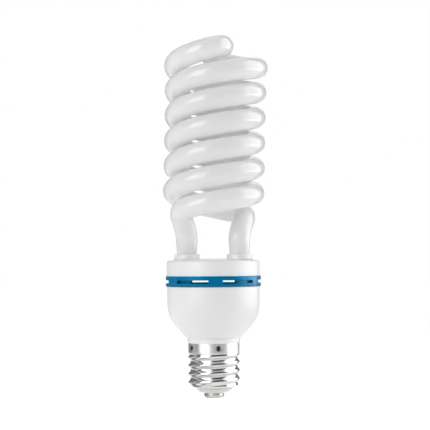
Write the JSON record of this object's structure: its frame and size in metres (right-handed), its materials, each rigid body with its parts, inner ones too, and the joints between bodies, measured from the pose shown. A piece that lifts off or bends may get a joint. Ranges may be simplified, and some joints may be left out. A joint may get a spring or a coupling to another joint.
{
  "type": "spiral energy saving bulb",
  "caption": "Large energy saving bulb: white coated glass tube wound as a double spiral on two legs, round white ballast housing with a blue slotted vent ring, metal screw cap.",
  "frame": {"origin": "centre of the lower face of the centre contact, on the axis of the screw cap", "axes": "+Z from the contact up along the lamp's axis to the glass, +X towards the right-hand glass leg as seen in the picture, -Y towards the viewer"},
  "size_m": [0.0818, 0.0822, 0.2767],
  "materials": {
    "coated_glass": "glossy clear glass over a matt white phosphor coat, opaque",
    "housing": "fine satin moulded white plastic",
    "vent_ring": "semi-gloss moulded blue plastic",
    "cap_metal": "bright nickel plate on rolled brass sheet",
    "insulator": "smooth pale glazed insulator",
    "contact_metal": "bright tinned plate",
    "solder": "dull solder",
    "cement": "rough white cement",
    "capacitor_can": "shrunk dark sleeve",
    "ferrite": "ground dark ferrite",
    "bobbin": "moulded pale plastic",
    "winding": "enamelled copper wire, wound",
    "coil_wire": "enamelled wire",
    "transistor": "moulded black body",
    "film_case": "dipped brown coat",
    "small_parts": "moulded small parts",
    "lead_wire": "insulated wire",
    "tube_wire": "tinned wire",
    "board": "brown laminate board"
  },
  "bodies": {
    "root": {"discharge_tube": "coated_glass", "cement_left": "cement", "cement_right": "cement", "upper_cover": "housing", "lower_housing": "housing", "vent_ring": "vent_ring", "screw_shell": "cap_metal", "base_insulator": "insulator", "centre_contact": "contact_metal", "contact_solder": "solder", "bulk_capacitor": "capacitor_can", "choke_core_upper": "ferrite", "choke_core_lower": "ferrite", "drive_ring_core": "ferrite", "filter_choke_core": "ferrite", "choke_bobbin": "bobbin", "choke_winding": "winding", "filter_choke_winding": "winding", "drive_coil_1": "coil_wire", "drive_coil_2": "coil_wire", "drive_coil_3": "coil_wire", "transistor_left": "transistor", "transistor_right": "transistor", "resonant_capacitor": "film_case", "coupling_capacitor": "film_case", "line_capacitor": "film_case", "fuse": "small_parts", "ptc_thermistor": "small_parts", "start_diac": "small_parts", "rectifier_diode_1": "small_parts", "rectifier_diode_2": "small_parts", "rectifier_diode_3": "small_parts", "rectifier_diode_4": "small_parts", "base_resistor_left": "small_parts", "base_resistor_right": "small_parts", "shell_lead": "lead_wire", "contact_lead": "lead_wire", "tube_lead_1": "tube_wire", "tube_lead_2": "tube_wire", "tube_lead_3": "tube_wire", "tube_lead_4": "tube_wire", "wrap_post_1": "tube_wire", "wrap_post_2": "tube_wire", "wrap_post_3": "tube_wire", "wrap_post_4": "tube_wire", "ballast_board": "board"}
  },
  "joints": []
}
